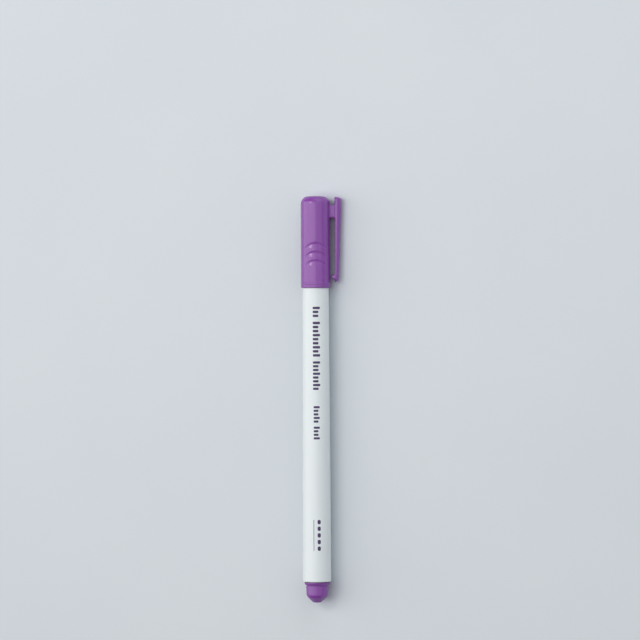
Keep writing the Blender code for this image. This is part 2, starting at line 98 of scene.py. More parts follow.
# Clip
CLIP_TOP = 140.8
CLIP_INNER = 6.65
CLIP_OUTER_TOP = 8.95
CLIP_OUTER_END = 8.0
CLIP_TAPER_START = 137.0
CLIP_HALF_WIDTH_TOP = 1.9
CLIP_HALF_WIDTH_END = 1.6
CLIP_CROWN = 0.575           # share of the clip's thickness that its crowned outer face takes
CLIP_SOFT_EDGE = 0.06        # share of it over which the side turns into the crown
CLIP_INNER_CORNER = 0.28     # radius of its inner corners, as a share of its thickness
CLIP_SIDE_SLOPE = 0.17       # how much its sides draw in towards the cap
CLIP_TOP_ROUNDING = 1.0
CLIP_END_ROUNDING = 1.3
CLIP_ROUNDING_DROP = 0.55    # share of its thickness and width that is lost at its very ends
CLIP_EDGE_LENGTH = 0.2       # how far from its two ends their inner edges are rounded
CLIP_EDGE_DROP = 0.12        # and how far they drop, as a share of its thickness
BUMP_HEIGHT = 1.1
BUMP_HALF_LENGTH = 1.15
BUMP_FROM_END = 1.75
BUMP_POWER = 1.5             # how much the ridge inside its free end narrows towards its crest
BRIDGE_TOP = 138.0
BRIDGE_BOTTOM = 133.5
BRIDGE_HALF_WIDTH = 1.45
BRIDGE_CORNER = 0.5
BRIDGE_FILLET = 0.38
BRIDGE_FILLET_ASIDE = 0.7    # share of that fillet on its two long sides


# ---------------------------------------------------------------- the pen's frame

def pen_matrix():
    """From the pen's own frame, in metres, to the world's."""
    joints = {joint["name"]: joint for joint in frame["joints"]}
    along = Vector(joints["cap_turn"]["axis"]).normalized()
    front = Vector(joints["clip_flex"]["axis"]).normalized()
    clip_way = along.cross(front)
    on_axis = Vector(joints["cap_turn"]["pos_m"])
    tail = on_axis + along * (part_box("tail_plug")[0] - on_axis).dot(along)
    turn = Matrix((clip_way, -front, along)).transposed().to_4x4()
    return Matrix.Translation(tail) @ turn


PEN = pen_matrix()


def span(node):
    """The heights along the pen, in mm, at which a node starts and ends."""
    low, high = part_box(node)
    tail = PEN.translation.x      # the pen lies along the world's X
    return (low.x - tail) / MM, (high.x - tail) / MM


def world_point(x, y, z):
    return PEN @ Vector((x * MM, y * MM, z * MM))


BARREL_BACK, BARREL_FRONT = span("barrel")
CAP_LIP, CAP_TOP = span("cap_shell")
CLIP_END, CLIP_ARM_TOP = span("clip_arm")
SECTION_BACK, SECTION_FRONT = span("front_section")
COLLAR_BACK = SECTION_FRONT + 0.3    # the CAD leaves this gap between the neck and the nose's collar
NOSE_BACK, NOSE_FRONT = span("nose_piece")
SLEEVE_BACK, SLEEVE_FRONT = span("nib_sleeve")
NIB_BACK, NIB_TIP = span("nib")
LINER_MOUTH, LINER_TOP = span("inner_cap")
PLUG_END = span("tail_plug")[1]


# ---------------------------------------------------------------- mesh helpers

def add_piece(name, shape, material, crease=35.0):
    """Makes a closed bmesh, drawn in mm in the pen's frame, into an object whose mesh is in the world's.

    Edges that turn by more than the crease, in degrees, are shaded sharp.
    """
    bmesh.ops.recalc_face_normals(shape, faces=shape.faces)
    shape.transform(PEN @ Matrix.Diagonal((MM, MM, MM, 1)))
    mesh = bpy.data.meshes.new(name)
    shape.to_mesh(mesh)
    shape.free()
    mesh.shade_smooth()
    mesh.set_sharp_from_angle(angle=math.radians(crease))
    mesh.materials.append(material)
    piece = bpy.data.objects.new(name, mesh)
    bpy.context.scene.collection.objects.link(piece)
    return piece


def filleted(corners, closed=True):
    """Rounds an outline of (radius, height, rounding).

    A guard point on either side of each arc keeps the walls' smooth shading flat.
    """
    arc_share, guard_share = 0.46, 0.48      # of the shorter wall, that an arc and its guard may take
    steps = 6
    points = []
    count = len(corners)
    for index, (radius, height, rounding) in enumerate(corners):
        here = Vector((radius, height))
        if rounding <= 0 or (not closed and index in (0, count - 1)):
            points.append((radius, height))
            continue
        before = Vector(corners[index - 1][:2]) - here
        after = Vector(corners[(index + 1) % count][:2]) - here
        shortest = min(before.length, after.length)
        before.normalize()
        after.normalize()
        half = before.angle(after) / 2
        setback = min(rounding / math.tan(half), arc_share * shortest)
        rounding = setback * math.tan(half)
        guard = min(0.5 * setback, guard_share * shortest - setback) if shortest > 2.1 * setback else 0
        centre = here + (before + after).normalized() * rounding / math.sin(half)
        first = here + before * setback - centre
        last = here + after * setback - centre
        start = math.atan2(first.y, first.x)
        sweep = (math.atan2(last.y, last.x) - start + math.pi) % TAU - math.pi
        if guard > 1e-4:
            points.append(tuple(here + before * (setback + guard)))
        for step in range(steps + 1):
            angle = start + sweep * step / steps
            points.append((centre.x + rounding * math.cos(angle), centre.y + rounding * math.sin(angle)))
        if guard > 1e-4:
            points.append(tuple(here + after * (setback + guard)))
    return points


def walls_cut(points, longest, pitch):
    """Cuts a closed outline's walls that are taller than the longest, at steps no longer than the pitch."""
    outline = []
    for point, following in zip(points, points[1:] + points[:1]):
        outline.append(point)
        rise = following[1] - point[1]
        if abs(rise) > longest:
            steps = math.ceil(abs(rise) / pitch)
            for step in range(1, steps):
                share = step / steps
                outline.append((point[0] + (following[0] - point[0]) * share, point[1] + rise * share))
    return outline


def turned(outline, facets, relief=None):
    """Spins an outline of (radius, height) about the pen's axis.

    One that starts and ends on the axis makes a solid, and any other is closed into a ring. relief takes
    an angle from the printed front towards the clip, a radius and a height, and gives the new radius.
    """
    shape = bmesh.new()
    rings = []
    for radius, height in outline:
        if radius < 1e-6:
            rings.append([shape.verts.new((0, 0, height))] * facets)
            continue
        ring = []
        for facet in range(facets):
            angle = TAU * facet / facets
            reach = relief(angle, radius, height) if relief else radius
            ring.append(shape.verts.new((reach * math.sin(angle), -reach * math.cos(angle), height)))
        rings.append(ring)
    pairs = list(zip(rings, rings[1:]))
    if outline[0][0] >= 1e-6:
        pairs.append((rings[-1], rings[0]))
    for lower, upper in pairs:
        for facet in range(facets):
            following = (facet + 1) % facets
            corners = [lower[facet], lower[following], upper[following], upper[facet]]
            shape.faces.new(list(dict.fromkeys(corners)))
    return shape


def skin(shape, sections):
    """Skins a row of closed sections with equal numbers of points into a bmesh, and closes both ends."""
    loops = [[shape.verts.new(point) for point in section] for section in sections]
    count = len(loops[0])
    for lower, upper in zip(loops, loops[1:]):
        for index in range(count):
            following = (index + 1) % count
            shape.faces.new((lower[index], lower[following], upper[following], upper[index]))
    shape.faces.new(loops[0])
    shape.faces.new(loops[-1])


def united(first, second):
    """Joins two closed bmeshes into one closed solid."""
    helpers = []
    for shape in (first, second):
        bmesh.ops.recalc_face_normals(shape, faces=shape.faces)
        mesh = bpy.data.meshes.new("helper")
        shape.to_mesh(mesh)
        shape.free()
        helper = bpy.data.objects.new("helper", mesh)
        bpy.context.scene.collection.objects.link(helper)
        helpers.append(helper)
    union = helpers[0].modifiers.new("union", "BOOLEAN")
    union.operation = "UNION"
    union.solver = "EXACT"
    union.object = helpers[1]
    bpy.context.view_layer.update()
    joined = bmesh.new()
    joined.from_object(helpers[0], bpy.context.evaluated_depsgraph_get())
    for helper in helpers:
        bpy.data.objects.remove(helper, do_unlink=True)
    return joined


def ramp(value, low, high):
    """0 below low, 1 above high, and smooth in between."""
    share = min(1.0, max(0.0, (value - low) / (high - low)))
    return share * share * (3 - 2 * share)


def between(low, high, pitch):
    """Evenly spaced values from low to high, both included, no further apart than the pitch."""
    count = max(1, math.ceil((high - low) / pitch - 1e-9))
    return [low + (high - low) * index / count for index in range(count + 1)]


def quarter_round(distance, length):
    """How far a rounded end has dropped, from 0 at this length from the end to 1 at the end itself."""
    rest = 1 - min(1.0, distance / length)
    return 1 - math.sqrt(max(0.0, 1 - rest * rest))


# ---------------------------------------------------------------- materials

def new_material(name, colour):
    material = bpy.data.materials.new(name)
    material.use_nodes = True
    material.diffuse_color = (*colour, 1.0)
    tree = material.node_tree
    return material, tree, tree.nodes["Principled BSDF"]


def add_node(tree, kind, **inputs):
    """Adds a node; each input is a value or the output socket that feeds it."""
    made = tree.nodes.new(kind)
    for key, value in inputs.items():
        socket = made.inputs[key.replace("_", " ")]
        if isinstance(value, bpy.types.NodeSocket):
            tree.links.new(value, socket)
        else:
            socket.default_value = value
    return made


def noise(tree, scale, detail=2.0, stretch=(1, 1, 1), offset=(0, 0, 0), roughness=0.5):
    """Noise fixed to the piece, with about this many grains a metre.

    The grains are longer along an axis where stretch is small. X runs along the pen.
    """
    place = add_node(tree, "ShaderNodeTexCoord").outputs["Object"]
    mapped = add_node(tree, "ShaderNodeMapping", Vector=place, Scale=stretch, Location=offset)
    grain = add_node(tree, "ShaderNodeTexNoise", Vector=mapped.outputs["Vector"], Scale=scale,
                     Detail=detail, Roughness=roughness)
    return grain.outputs["Fac"]


def ranged(tree, value, low, high, to_low, to_high):
    made = add_node(tree, "ShaderNodeMapRange", Value=value, From_Min=low, From_Max=high,
                    To_Min=to_low, To_Max=to_high)
    return made.outputs["Result"]


def mixed(tree, share, first, second):
    """A colour between two, which are colours or sockets."""
    made = tree.nodes.new("ShaderNodeMix")
    made.data_type = "RGBA"
    sockets = [socket for socket in made.inputs if socket.type == "RGBA"]
    for socket, value in zip(sockets, (first, second)):
        if isinstance(value, bpy.types.NodeSocket):
            tree.links.new(value, socket)
        else:
            socket.default_value = (*value, 1.0)
    tree.links.new(share, made.inputs["Factor"])
    return [socket for socket in made.outputs if socket.type == "RGBA"][0]


def bumped(tree, height, depth, under=None):
    """A normal roughened by a height pattern this many mm deep, on top of another normal if there is one."""
    inputs = {"Height": height, "Distance": depth * MM}
    if under:
        inputs["Normal"] = under
    return add_node(tree, "ShaderNodeBump", **inputs).outputs["Normal"]


def shaded(colour, factor):
    return tuple(channel * factor for channel in colour)


def moulded(name, colour, pale_colour, roughness, gloss_spread, mottle, grain, specular=0.5):
    """Moulded plastic: slightly uneven in colour and gloss, with flow lines and fine grain."""
    material, tree, shader = new_material(name, colour)
    cloud = noise(tree, 240, 3, (0.4, 1, 1))
    flow = noise(tree, 900, 2, (0.06, 1, 1), (0.3, 0.1, 0.2))
    dark, light = shaded(colour, 1 - mottle), shaded(colour, 1 + mottle)
    base = mixed(tree, ranged(tree, cloud, 0.3, 0.7, 0, 1), dark, light)
    base = mixed(tree, ranged(tree, flow, 0.5, 0.8, 0, 0.1), base, pale_colour)
    tree.links.new(base, shader.inputs["Base Color"])
    haze = noise(tree, 620, 3, (0.5, 1, 1), (0.7, 0.2, 0.5))
    gloss = ranged(tree, haze, 0.3, 0.7, roughness - gloss_spread, roughness + gloss_spread)
    tree.links.new(gloss, shader.inputs["Roughness"])
    wave = bumped(tree, noise(tree, 160, 1, (0.5, 1, 1), (0.1, 0.9, 0.4)), 0.012)
    fine = bumped(tree, noise(tree, 5200, 2, (1, 1, 1), (0.4, 0.6, 0.8)), grain, under=wave)
    tree.links.new(fine, shader.inputs["Normal"])
    shader.inputs["Specular IOR Level"].default_value = specular
    return material


def printed_ink(name, colour, worn_colour):
    """Pad-printed ink: matt, with a faint mottle and pinholes where it is thin."""
    material, tree, shader = new_material(name, colour)
    thin = noise(tree, 2600, 3, (1, 1, 1), (0.2, 0.5, 0.1))
    cloud = noise(tree, 700, 2, (1, 1, 1), (0.6, 0.1, 0.3))
    base = mixed(tree, ranged(tree, cloud, 0.35, 0.65, 0, 1), shaded(colour, 0.8), shaded(colour, 1.2))
    base = mixed(tree, ranged(tree, thin, 0.62, 0.72, 0, 0.5), base, worn_colour)
    tree.links.new(base, shader.inputs["Base Color"])
    tree.links.new(ranged(tree, cloud, 0.3, 0.7, 0.42, 0.58), shader.inputs["Roughness"])
    tree.links.new(bumped(tree, thin, 0.004), shader.inputs["Normal"])
    return material


def bonded_fibre(name, colour, pale_colour, strand=4200, depth=0.02, tip=None):
    """Fibres bonded side by side along the pen, which darken between the two heights of the tip."""
    material, tree, shader = new_material(name, colour)
    strands = noise(tree, strand, 4, (0.06, 1, 1), (0.1, 0.2, 0.3), 0.6)
    blotch = noise(tree, 600, 2, (1, 1, 1), (0.5, 0.3, 0.7))
    base = mixed(tree, ranged(tree, strands, 0.35, 0.7, 0, 1), colour, pale_colour)
    base = mixed(tree, ranged(tree, blotch, 0.4, 0.75, 0, 0.6), base, shaded(colour, 0.6))
    if tip:
        place = add_node(tree, "ShaderNodeTexCoord").outputs["Object"]
        along = add_node(tree, "ShaderNodeSeparateXYZ", Vector=place).outputs["X"]
        start, end = [world_point(0, 0, height).x for height in tip]
        base = mixed(tree, ranged(tree, along, start, end, 0, 0.85), base, shaded(colour, 0.35))
    tree.links.new(base, shader.inputs["Base Color"])
    tree.links.new(ranged(tree, strands, 0.3, 0.7, 0.75, 0.95), shader.inputs["Roughness"])
    tree.links.new(bumped(tree, strands, depth), shader.inputs["Normal"])
    return material


def wrap_film(name, colour, pale_colour):
    """Thin film with fine wrinkles that run round it."""
    material, tree, shader = new_material(name, colour)
    wrinkle = noise(tree, 1400, 3, (1, 0.2, 0.2))
    cloud = noise(tree, 300, 2)
    base = mixed(tree, ranged(tree, cloud, 0.35, 0.65, 0, 1), colour, pale_colour)
    tree.links.new(base, shader.inputs["Base Color"])
    tree.links.new(ranged(tree, wrinkle, 0.3, 0.7, 0.12, 0.25), shader.inputs["Roughness"])
    tree.links.new(bumped(tree, wrinkle, 0.02), shader.inputs["Normal"])
    return material


def floor_card(name, dark, light):
    """Pale card, cloudy on a large scale."""
    material, tree, shader = new_material(name, light)
    cloud = noise(tree, 12, 3)
    base = mixed(tree, ranged(tree, cloud, 0.3, 0.7, 0, 1), dark, light)
    tree.links.new(base, shader.inputs["Base Color"])
    shader.inputs["Roughness"].default_value = 0.7
    return material


# ---------------------------------------------------------------- barrel and its print

def barrel_radius(height):
    share = (height - BARREL_BACK) / (BARREL_FRONT - BARREL_BACK)
    return BARREL_RADIUS_BACK + (BARREL_RADIUS_FRONT - BARREL_RADIUS_BACK) * share


def make_barrel(material):
    """A tapered tube with a narrowed ledge inside its front end."""
    front = CAP_LIP - SEAM
    ledge_back = BARREL_FRONT - BARREL_LEDGE_LENGTH
    corners = [
        (BARREL_BORE_BACK, BARREL_BACK, 0.15),
        (BARREL_RADIUS_BACK, BARREL_BACK, 0.35),
        (BARREL_RADIUS_FRONT, front, 0.2),
        (BARREL_LEDGE_RADIUS, front, 0.12),
        (BARREL_LEDGE_RADIUS, ledge_back, 0.1),
        (BARREL_BORE_FRONT, ledge_back, 0),
    ]
    outline = walls_cut(filleted(corners), longest=50.0, pitch=4.0)
    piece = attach(add_piece("barrel_tube", turned(outline, 192), material), "pen")
    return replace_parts(piece, "barrel")


def wrapped_block(shape, centre, low, high, across, corner):
    """Adds a thin rounded block of ink that follows the barrel, centred beside its front line."""
    slices = 12
    bottom, top = -0.05, 0.03      # from the barrel's surface
    rows = []
    for index in range(slices + 1):
        offset = across / 2 * math.sin(math.pi * (index / slices - 0.5))
        from_side = across / 2 - abs(offset)
        inset = 0.0
        if from_side < corner:
            inset = corner - math.sqrt(corner ** 2 - (corner - from_side) ** 2)
        start, end = low + inset, high - inset
        row = []
        for height, lift in ((start, bottom), (end, bottom), (end, top), (start, top)):
            radius = barrel_radius(height)
            angle = (centre + offset) / radius
            reach = radius + lift
            row.append((reach * math.sin(angle), -reach * math.cos(angle), height))
        rows.append(row)
    skin(shape, rows)


def make_print(material):
    """Lines of print as rows of plain rounded blocks, with a thread line and stitches nearer the tail."""
    shape = bmesh.new()
    tall_ones = (True, False, False, True, False, False, True, False)
    short_share = 0.77       # of the tall blocks' width
    block_share = 0.62       # of the pitch, and the rest is the gap
    block_corner = 0.24
    words = (                # low end, high end, number of blocks, low side and the tall blocks' width
        (98.6, 102.7, 3, -1.09, 2.5), (84.9, 97.5, 9, -1.09, 2.5), (73.4, 83.8, 8, -1.09, 2.5),
        (62.1, 68.3, 5, -0.93, 2.12), (56.3, 61.2, 4, -0.93, 2.12),
    )
    for low, high, count, low_side, tall in words:
        pitch = (high - low) / count
        for index in range(count):
            across = tall if tall_ones[index % len(tall_ones)] else short_share * tall
            end = high - index * pitch
            wrapped_block(shape, low_side + across / 2, end - block_share * pitch, end, across, block_corner)
    stitches, stitch, pause = 5, 1.5, 0.8
    stitch_centre, stitch_width, stitch_corner = 0.8, 1.1, 0.45
    thread_centre, thread_width, thread_corner = -1.05, 0.17, 0.08
    thread_low = 18.2
    for index in range(stitches):
        start = thread_low + index * (stitch + pause)
        wrapped_block(shape, stitch_centre, start, start + stitch, stitch_width, stitch_corner)
    thread_high = thread_low + stitches * (stitch + pause) - pause
    wrapped_block(shape, thread_centre, thread_low, thread_high, thread_width, thread_corner)
    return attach(add_piece("barrel_print", shape, material), "pen")


# ---------------------------------------------------------------- plug, section, nose and nib

def make_tail_plug(material):
    """A bevelled end, a body, a groove and a flange outside the barrel, and a ribbed hollow stem in it."""
    flange_front = BARREL_BACK - 0.26
    flange_back = flange_front - 0.93
    groove_back = flange_back - 0.33
    stem = BARREL_BORE_BACK - 0.6
    hollow = stem - 0.8
    hollow_back = BARREL_BACK + 0.5
    ribs, first_rib, rib_pitch, rib_rise = 2, BARREL_BACK + 1.6, 2.6, 0.3

    gate_mark = [(0, 0.14, 0), (0.42, 0.14, 0.05), (0.52, 0, 0.05)]
    bevelled_end = [(1.3, 0, 0.12), (1.62, 0.2, 0.3), (3.25, 1.72, 0.5), (3.72, 2.5, 0.8)]
    groove = [(3.9, groove_back, 0.1), (3.68, groove_back, 0.06), (3.68, flange_back, 0.06)]
    flange = [(4.1, flange_back, 0.12), (4.45, flange_back + 0.6, 0.25), (4.45, flange_front, 0.14)]
    stem_wall = [(stem, flange_front, 0.1)]
    for rib in range(ribs):
        start = first_rib + rib_pitch * rib
        stem_wall += [
            (stem, start, 0.1), (stem + rib_rise, start + 0.3, 0.1),
            (stem + rib_rise, start + 0.6, 0.1), (stem, start + 0.9, 0.1),
        ]
    stem_end = [(stem - 0.2, PLUG_END, 0.12), (hollow, PLUG_END, 0.12)]
    inside = [(hollow, hollow_back, 0.3), (0, hollow_back, 0)]
    corners = gate_mark + bevelled_end + groove + flange + stem_wall + stem_end + inside
    shape = turned(filleted(corners, closed=False), 160)
    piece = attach(add_piece("tail_plug_moulding", shape, material), "pen")
    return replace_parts(piece, "tail_plug")


def make_front_section(material):
    """The neck that the cap slides over, with a skirt and its snap rib inside the barrel."""
    bore = 2.2
    skirt = BARREL_LEDGE_RADIUS - 0.3
    rib = skirt + 0.5
    rib_front = BARREL_FRONT - BARREL_LEDGE_LENGTH - 0.3
    neck_step = CAP_LIP + 0.9
    neck_front = COLLAR_BACK - SEAM
    corners = [
        (bore, SECTION_BACK, 0.1), (skirt, SECTION_BACK, 0.2), (skirt, rib_front - 1.6, 0.2),
        (rib, rib_front - 0.8, 0.12), (rib, rib_front, 0.1), (skirt, rib_front, 0.08),
        (skirt, CAP_LIP, 0.05), (NECK_RADIUS_BACK, CAP_LIP, 0.12), (NECK_RADIUS_BACK, neck_step, 0.4),
        (NECK_RADIUS_FRONT, neck_front, 0.2), (bore, neck_front, 0.1),
    ]
    shape = turned(filleted(corners), 160)
    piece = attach(add_piece("neck_section", shape, material), "pen")
    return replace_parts(piece, "front_section")


def make_nose_piece(material):
    """The nib holder: a stem, a bevelled collar, and a cone that ends in a rounded shoulder."""
    stem = 1.9
    collar, collar_bevelled = 3.2, 2.55
    collar_rim, collar_front = COLLAR_BACK + 0.14, COLLAR_BACK + 0.7
    cone = 2.3
    shoulder, shoulder_length = 2.0, 1.8
    shoulder_turn = math.radians(62)
    steps = 18
    front_radius, front_softening = SLEEVE_RADIUS + 0.05, 0.06
    front = NOSE_FRONT + 0.02
    corners = [
        (NOSE_BORE_RADIUS, NOSE_BACK, 0.08), (stem, NOSE_BACK, 0.12), (stem, COLLAR_BACK, 0.05),
        (collar, COLLAR_BACK, 0.06), (collar, collar_rim, 0.06), (collar_bevelled, collar_front, 0.1),
        (cone, collar_front, 0.08),
    ]
    ends = [(shoulder, NOSE_FRONT - shoulder_length, 0), (NOSE_BORE_RADIUS, NOSE_FRONT, 0)]
    outline = filleted(corners + ends)[:-len(ends)]
    for step in range(steps + 1):
        angle = shoulder_turn * step / steps
        rise = math.sin(angle) / math.sin(shoulder_turn)
        fall = (1 - math.cos(angle)) / (1 - math.cos(shoulder_turn))
        radius = shoulder - (shoulder - front_radius) * fall
        outline.append((radius, NOSE_FRONT - shoulder_length * (1 - rise)))
    outline += [(front_radius - front_softening, front), (NOSE_BORE_RADIUS, front)]
    shape = turned(outline, 128)
    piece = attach(add_piece("nose_cone", shape, material, 40), "pen")
    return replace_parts(piece, "nose_piece")


def make_nib_sleeve(material):
    """A tube inside the nose, and the cone outside it that the nib comes out of."""
    bore = 0.62
    tube = 0.85
    cone_back = NOSE_FRONT + SEAM
    corners = [
        (bore, SLEEVE_BACK, 0), (tube, SLEEVE_BACK, 0.05), (tube, cone_back, 0),
        (SLEEVE_RADIUS, cone_back, 0.05), (SLEEVE_RADIUS, cone_back + 0.22, 0.15),
        (NIB_RADIUS + 0.02, SLEEVE_FRONT, 0.05), (bore, SLEEVE_FRONT, 0.03),
    ]
    shape = turned(filleted(corners), 96)
    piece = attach(add_piece("nib_holder", shape, material), "pen")
    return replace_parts(piece, "nib_sleeve")


def make_nib(material):
    """A rod inside the sleeve, then a point that swells a little before it tapers to its round tip."""
    rod = 0.45
    base = 0.93 * NIB_RADIUS
    back = SLEEVE_FRONT + SEAM
    length = NIB_TIP - NIB_TIP_RADIUS - back
    swollen = 0.55           # share of the point's length
    taper_power = 1.25
    steps, tip_steps = 28, 6
    outline = [(0, NIB_BACK), (rod - 0.05, NIB_BACK), (rod, NIB_BACK + 0.05), (rod, back)]
    for step in range(steps + 1):
        share = step / steps
        if share < swollen:
            radius = base + (NIB_RADIUS - base) * math.sin(math.pi * share / swollen)
        else:
            radius = base + (NIB_TIP_RADIUS - base) * ((share - swollen) / (1 - swollen)) ** taper_power
        outline.append((radius, back + length * share))
    for step in range(1, tip_steps):
        angle = math.pi / 2 * step / tip_steps
        outline.append((NIB_TIP_RADIUS * math.cos(angle), NIB_TIP - NIB_TIP_RADIUS * (1 - math.sin(angle))))
    outline.append((0, NIB_TIP))
    shape = turned(outline, 64)
    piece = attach(add_piece("nib_point", shape, material, 50), "pen")
    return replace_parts(piece, "nib")


# ---------------------------------------------------------------- cap and its liner

def make_inner_cap(material):
    """A liner with a web just past the nib's tip, open on both sides of it."""
    outer = CAP_BORE_RADIUS - 0.35
    bore = 2.6
    far_bore = outer - 0.7
    web_back = NIB_TIP + 2.2
    web_front = web_back + 1.0
    corners = [
        (0, web_back, 0), (bore, web_back, 0.5),
        (bore, LINER_MOUTH + 0.35, 0.2), (bore + 0.35, LINER_MOUTH, 0.1), (outer, LINER_MOUTH, 0.3),
        (outer, LINER_TOP, 0.1), (far_bore, LINER_TOP, 0.1),
        (far_bore, web_front, 0.3), (0, web_front, 0),
    ]
    shape = turned(filleted(corners, closed=False), 128)
    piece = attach(add_piece("cap_liner", shape, material), "liner")
    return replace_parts(piece, "inner_cap")


def cap_radius(height):
    """The cap's wall above the band at its lip."""
    share = (height - CAP_LIP) / (CAP_TOP - CAP_LIP)
    at_lip = CAP_RADIUS_LIP - CAP_BAND_RISE
    return at_lip + (CAP_RADIUS_TOP - at_lip) * share


def grip_depth(across, height):
    """How deep the thumb grip is cut: under each arch the wall sinks, then slopes out to a straight end."""
    if abs(across) >= ARCH_RADIUS:
        return 0.0
    fall = ARCH_RADIUS - math.sqrt(ARCH_RADIUS ** 2 - across ** 2)
    length = ARCH_LENGTH - fall
    if length <= 0.05:
        return 0.0
    depth = 0.0
    for peak in ARCH_PEAKS:
        share = (peak - fall - height) / length
        if 0 < share < 1:
            shape = ramp(share, 0, ARCH_DEEPEST)
            if share > ARCH_DEEPEST:
                rising = 1 - (share - ARCH_DEEPEST) / (1 - ARCH_DEEPEST)
                shape = rising * ramp(rising, -ARCH_SOFTENING, ARCH_SOFTENING)
            depth += ARCH_DEPTH * (length / ARCH_LENGTH) ** ARCH_FADE * shape
    return depth


def cap_relief(angle, radius, height):
    """The cap's outer wall with the grip cut into its front and back, and not into its sides or its bore."""
    in_bore = radius < CAP_BORE_RADIUS + 0.2
    on_side = abs(math.cos(angle)) < 0.45
    if in_bore or on_side:
        return radius
    return radius - grip_depth(radius * math.sin(angle), height)


def make_cap(material):
    """A bore, a lip with a grooved band, a wall with the thumb grip, and a domed edge round a flat top."""
    bore_end = CAP_TOP - CAP_TOP_WALL
    wall_end = CAP_TOP - CAP_TOP_ROUNDING
    band_end, plain_end = CAP_LIP + 1.87, CAP_LIP + 3
    groove = CAP_RADIUS_LIP - 0.06
    bore = [
        (0, bore_end, 0), (CAP_BORE_RADIUS, bore_end, 0.5),
        (CAP_BORE_RADIUS, CAP_LIP + 0.25, 0.1), (CAP_BORE_RADIUS + 0.25, CAP_LIP, 0.1),
    ]
    band = [
        (CAP_RADIUS_LIP, CAP_LIP, 0.17), (CAP_RADIUS_LIP, CAP_LIP + 0.85, 0.04),
        (groove, CAP_LIP + 0.93, 0.04), (groove, CAP_LIP + 1.1, 0.04),
        (CAP_RADIUS_LIP, CAP_LIP + 1.18, 0.04), (CAP_RADIUS_LIP, band_end - 0.12, 0.1),
        (cap_radius(band_end), band_end, 0.1),
    ]
    outline = filleted(bore + band + [(cap_radius(plain_end), plain_end, 0)], closed=False)

    grip_low, grip_high = ARCH_PEAKS[-1] - ARCH_LENGTH - 0.2, ARCH_PEAKS[0] + 0.3
    heights = between(plain_end, grip_low, 1.0)[1:-1] + between(grip_low, grip_high, ARCH_PITCH)
    heights += between(grip_high, wall_end - 0.3, 1.0)[1:]
    outline += [(cap_radius(height), height) for height in heights]

    steps = 18
    for step in range(steps + 1):
        angle = math.pi / 2 * step / steps
        outline.append((CAP_RADIUS_TOP - CAP_TOP_ROUNDING * (1 - math.cos(angle)),
                        wall_end + CAP_TOP_ROUNDING * math.sin(angle)))
    for radius, depth in ((0.85, 0), (0.75, 0.02), (0.68, 0.1), (0.6, 0.12), (0, 0.12)):
        outline.append((radius, CAP_TOP - depth))      # the gate mark in the middle
    shape = turned(outline, 288, cap_relief)
    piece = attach(add_piece("cap_body", shape, material, 60), "cap")
    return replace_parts(piece, "cap_shell")


# ---------------------------------------------------------------- clip

def clip_section(height):
    """The clip's closed section at a height: a flat inner face, flat sides and a crowned outer face."""
    taper = min(1.0, max(0.0, (CLIP_TAPER_START - height) / (CLIP_TAPER_START - CLIP_END)))
    outer = CLIP_OUTER_TOP + (CLIP_OUTER_END - CLIP_OUTER_TOP) * taper
    along = (CLIP_TOP - height) / (CLIP_TOP - CLIP_END)
    half_width = CLIP_HALF_WIDTH_TOP + (CLIP_HALF_WIDTH_END - CLIP_HALF_WIDTH_TOP) * along
    inner = CLIP_INNER
    from_bump = (height - (CLIP_END + BUMP_FROM_END)) / BUMP_HALF_LENGTH
    if abs(from_bump) < 1:
        inner -= BUMP_HEIGHT * math.cos(from_bump * math.pi / 2) ** BUMP_POWER
    ends = ((CLIP_TOP - height, CLIP_TOP_ROUNDING), (height - CLIP_END, CLIP_END_ROUNDING))
    for distance, rounding in ends:
        drop = CLIP_ROUNDING_DROP * quarter_round(distance, rounding)
        outer -= (outer - CLIP_INNER) * drop
        half_width -= half_width * drop
        inner += CLIP_EDGE_DROP * quarter_round(distance, CLIP_EDGE_LENGTH) * (outer - CLIP_INNER)

    thick = outer - CLIP_INNER
    crown = CLIP_CROWN * thick
    side_end = outer - crown
    edge = CLIP_SOFT_EDGE * thick
    corner = min(CLIP_INNER_CORNER * thick, side_end - edge - inner)
    inner_width = half_width - CLIP_SIDE_SLOPE * (side_end - CLIP_INNER - corner)
    corner_steps, crown_steps = 4, 14
    crown_share = 0.95       # of the crown's turn, with a soft edge in place of the rest
    half = []
    for step in range(corner_steps + 1):
        angle = math.pi - math.pi / 2 * step / corner_steps
        half.append((inner + corner * (1 + math.cos(angle)), inner_width - corner * (1 - math.sin(angle))))
    half += [(side_end - edge, half_width - 0.004), (side_end - 0.3 * edge, half_width - 0.02)]
    crown_radius = (half_width ** 2 + crown ** 2) / (2 * crown)
    crown_centre = outer - crown_radius
    crown_turn = math.asin(min(1.0, half_width / crown_radius))
    if side_end < crown_centre:
        crown_turn = math.pi - crown_turn
    for step in range(crown_steps + 1):
        angle = crown_share * crown_turn * (1 - step / crown_steps)
        half.append((crown_centre + crown_radius * math.cos(angle), crown_radius * math.sin(angle)))
    outline = half + [(x, -y) for x, y in reversed(half[:-1])]
    return [(x, y, height) for x, y in outline]


def make_clip_bar():
    """The clip from its free end to its head."""
    rounded = CLIP_END + CLIP_END_ROUNDING
    bump_top = CLIP_END + BUMP_FROM_END + BUMP_HALF_LENGTH
    turns = [math.radians(7.5 * step) for step in range(13)]
    heights = [rounded - CLIP_END_ROUNDING * math.cos(turn) for turn in turns[:-1]]
    heights += between(rounded, bump_top, 0.09)
    heights += between(bump_top, CLIP_TOP - CLIP_TOP_ROUNDING, 0.4)[1:]
    heights += [CLIP_TOP - CLIP_TOP_ROUNDING * (1 - math.sin(turn)) for turn in turns[1:]]
    bar = bmesh.new()
    skin(bar, [clip_section(height) for height in heights])
    return bar


